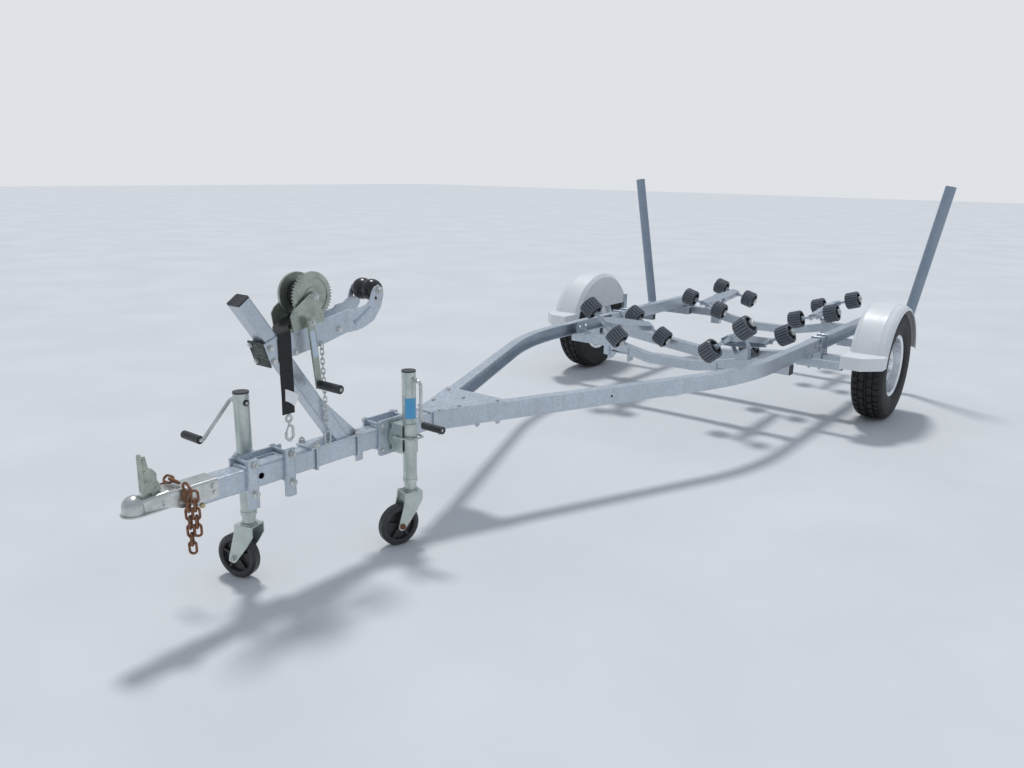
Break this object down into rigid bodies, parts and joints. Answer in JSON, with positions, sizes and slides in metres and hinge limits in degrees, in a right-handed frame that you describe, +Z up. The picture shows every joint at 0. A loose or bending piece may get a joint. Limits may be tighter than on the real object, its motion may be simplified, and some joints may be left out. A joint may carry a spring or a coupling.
{
  "type": "boat trailer",
  "caption": "Galvanised roller boat trailer with V tongue, rocking roller cradles, bow winch, fenders, guide posts and jockey wheels.",
  "frame": {"origin": "centre of the outside box at ground level", "axes": "+Y rearwards along the trailer, +X to the trailer's left, +Z up"},
  "size_m": [2.1092, 4.847, 1.2452],
  "materials": {
    "black_plastic": "black moulded plastic",
    "black_rubber": "moulded rubber, dusty",
    "bright_zinc": "electroplated zinc, light wear",
    "galvanised": "hot-dip galvanised, dull and weathered",
    "grey_pipe": "grey-blue pipe, dusty",
    "olive_zinc": "passivated zinc with an olive tint",
    "rusty_iron": "rusty",
    "silver_rim": "silver wheel paint",
    "tyre_rubber": "road tyre, worn and dusty",
    "webbing": "woven polyester webbing",
    "white_plastic": "white moulded plastic, weathered"
  },
  "bodies": {
    "frame": {"axle_beam": "galvanised", "bow_arm": "galvanised", "bow_arm_clamp": "black_plastic", "bow_chain": "bright_zinc", "coupler": "bright_zinc", "coupler_latch": "olive_zinc", "crank_grips": "black_plastic", "crossmember_front": "galvanised", "crossmember_rear": "galvanised", "fender_brackets": "galvanised", "fender_left": "white_plastic", "fender_right": "white_plastic", "front_jack_clamp": "galvanised", "front_jack_crank": "bright_zinc", "front_jack_tube": "bright_zinc", "guide_post_arms": "galvanised", "guide_posts": "grey_pipe", "rail_front_left": "galvanised", "rail_front_right": "galvanised", "rail_rear_left": "galvanised", "rail_rear_right": "galvanised", "rail_splices": "galvanised", "rear_jack_bracket": "galvanised", "safety_chain": "rusty_iron", "strap_hook": "bright_zinc", "tongue": "galvanised", "tongue_gusset": "galvanised", "tube_caps": "black_plastic", "winch_crank": "olive_zinc", "winch_drum": "olive_zinc", "winch_frame": "olive_zinc", "winch_post": "galvanised", "winch_post_foot": "galvanised", "winch_strap": "webbing"},
    "wheel_left": {"tyre_left": "tyre_rubber", "rim_left": "silver_rim"},
    "wheel_right": {"tyre_right": "tyre_rubber", "rim_right": "silver_rim"},
    "bow_roller": {"bow_roller": "black_rubber"},
    "cradle_front_left": {"cradle_front_left": "galvanised"},
    "cradle_front_left_rollers_a": {"cradle_front_left_rollers_a": "black_rubber"},
    "cradle_front_left_rollers_b": {"cradle_front_left_rollers_b": "black_rubber"},
    "cradle_front_right": {"cradle_front_right": "galvanised"},
    "cradle_front_right_rollers_a": {"cradle_front_right_rollers_a": "black_rubber"},
    "cradle_front_right_rollers_b": {"cradle_front_right_rollers_b": "black_rubber"},
    "cradle_rear_left": {"cradle_rear_left": "galvanised"},
    "cradle_rear_left_rollers_a": {"cradle_rear_left_rollers_a": "black_rubber"},
    "cradle_rear_left_rollers_b": {"cradle_rear_left_rollers_b": "black_rubber"},
    "cradle_rear_right": {"cradle_rear_right": "galvanised"},
    "cradle_rear_right_rollers_a": {"cradle_rear_right_rollers_a": "black_rubber"},
    "cradle_rear_right_rollers_b": {"cradle_rear_right_rollers_b": "black_rubber"},
    "front_jack_leg": {"front_jack_leg": "bright_zinc"},
    "front_jack_fork": {"front_jack_fork": "bright_zinc"},
    "front_jack_wheel": {"front_jack_wheel": "black_rubber"},
    "rear_jack": {"rear_jack_tube": "bright_zinc", "rear_jack_crank": "bright_zinc", "rear_jack_grip": "black_plastic"},
    "rear_jack_leg": {"rear_jack_leg": "bright_zinc"},
    "rear_jack_fork": {"rear_jack_fork": "bright_zinc"},
    "rear_jack_wheel": {"rear_jack_wheel": "black_rubber"}
  },
  "joints": [
    {"name": "wheel_left_spin", "type": "hinge", "parent": "frame", "child": "wheel_left", "pos_m": [0.943, 1.3545, 0.297], "axis": [1, 0, 0], "continuous": true},
    {"name": "wheel_right_spin", "type": "hinge", "parent": "frame", "child": "wheel_right", "pos_m": [-0.943, 1.3545, 0.297], "axis": [1, 0, 0], "continuous": true},
    {"name": "bow_roller_spin", "type": "hinge", "parent": "frame", "child": "bow_roller", "pos_m": [0, -1.5285, 0.909], "axis": [1, 0, 0], "continuous": true},
    {"name": "cradle_front_left_rock", "type": "hinge", "parent": "frame", "child": "cradle_front_left", "pos_m": [0.37213, 0.7265, 0.44448], "axis": [0.8334, 0.0851, 0.5461], "range_deg": [-10, 10]},
    {"name": "cradle_front_left_rollers_a_spin", "type": "hinge", "parent": "cradle_front_left", "child": "cradle_front_left_rollers_a", "pos_m": [0.37, 0.5835, 0.47], "axis": [0.7771, 0, 0.6293], "continuous": true},
    {"name": "cradle_front_left_rollers_b_spin", "type": "hinge", "parent": "cradle_front_left", "child": "cradle_front_left_rollers_b", "pos_m": [0.378, 1.1215, 0.374], "axis": [0.8746, 0, 0.4848], "continuous": true},
    {"name": "cradle_front_right_rock", "type": "hinge", "parent": "frame", "child": "cradle_front_right", "pos_m": [-0.37213, 0.7265, 0.44448], "axis": [0.8334, -0.0851, -0.5461], "range_deg": [-10, 10]},
    {"name": "cradle_front_right_rollers_a_spin", "type": "hinge", "parent": "cradle_front_right", "child": "cradle_front_right_rollers_a", "pos_m": [-0.37, 0.5835, 0.47], "axis": [0.7771, 0, -0.6293], "continuous": true},
    {"name": "cradle_front_right_rollers_b_spin", "type": "hinge", "parent": "cradle_front_right", "child": "cradle_front_right_rollers_b", "pos_m": [-0.378, 1.1215, 0.374], "axis": [0.8746, 0, -0.4848], "continuous": true},
    {"name": "cradle_rear_left_rock", "type": "hinge", "parent": "frame", "child": "cradle_rear_left", "pos_m": [0.36749, 2.1335, 0.43653], "axis": [0.9561, 0.0096, 0.2929], "range_deg": [-10, 10]},
    {"name": "cradle_rear_left_rollers_a_spin", "type": "hinge", "parent": "cradle_rear_left", "child": "cradle_rear_left_rollers_a", "pos_m": [0.374, 1.8975, 0.423], "axis": [0.9563, 0, 0.2924], "continuous": true},
    {"name": "cradle_rear_left_rollers_b_spin", "type": "hinge", "parent": "cradle_rear_left", "child": "cradle_rear_left_rollers_b", "pos_m": [0.361, 2.3685, 0.45], "axis": [0.9563, 0, 0.2924], "continuous": true},
    {"name": "cradle_rear_right_rock", "type": "hinge", "parent": "frame", "child": "cradle_rear_right", "pos_m": [-0.36749, 2.1335, 0.43653], "axis": [0.9561, -0.0096, -0.2929], "range_deg": [-10, 10]},
    {"name": "cradle_rear_right_rollers_a_spin", "type": "hinge", "parent": "cradle_rear_right", "child": "cradle_rear_right_rollers_a", "pos_m": [-0.374, 1.8975, 0.423], "axis": [0.9563, 0, -0.2924], "continuous": true},
    {"name": "cradle_rear_right_rollers_b_spin", "type": "hinge", "parent": "cradle_rear_right", "child": "cradle_rear_right_rollers_b", "pos_m": [-0.361, 2.3685, 0.45], "axis": [0.9563, 0, -0.2924], "continuous": true},
    {"name": "front_jack_lift", "type": "slide", "parent": "frame", "child": "front_jack_leg", "axis": [0, 0, 1], "range_m": [-0.2, 0.02]},
    {"name": "front_jack_swivel", "type": "hinge", "parent": "front_jack_leg", "child": "front_jack_fork", "pos_m": [-0.09, -1.9755, 0.2], "axis": [0, 0, 1], "continuous": true},
    {"name": "front_jack_wheel_spin", "type": "hinge", "parent": "front_jack_fork", "child": "front_jack_wheel", "pos_m": [-0.13806, -1.98928, 0.075], "axis": [0.2756, -0.9613, 0], "continuous": true},
    {"name": "rear_jack_swing", "type": "hinge", "parent": "frame", "child": "rear_jack", "pos_m": [0.097, -1.4385, 0.39], "axis": [-1, 0, 0], "range_deg": [0, 90]},
    {"name": "rear_jack_lift", "type": "slide", "parent": "rear_jack", "child": "rear_jack_leg", "axis": [0, 0, 1], "range_m": [-0.2, 0.02]},
    {"name": "rear_jack_swivel", "type": "hinge", "parent": "rear_jack_leg", "child": "rear_jack_fork", "pos_m": [0.097, -1.4385, 0.2], "axis": [0, 0, 1], "continuous": true},
    {"name": "rear_jack_wheel_spin", "type": "hinge", "parent": "rear_jack_fork", "child": "rear_jack_wheel", "pos_m": [0.08406, -1.4868, 0.075], "axis": [0.9659, -0.2588, 0], "continuous": true}
  ]
}
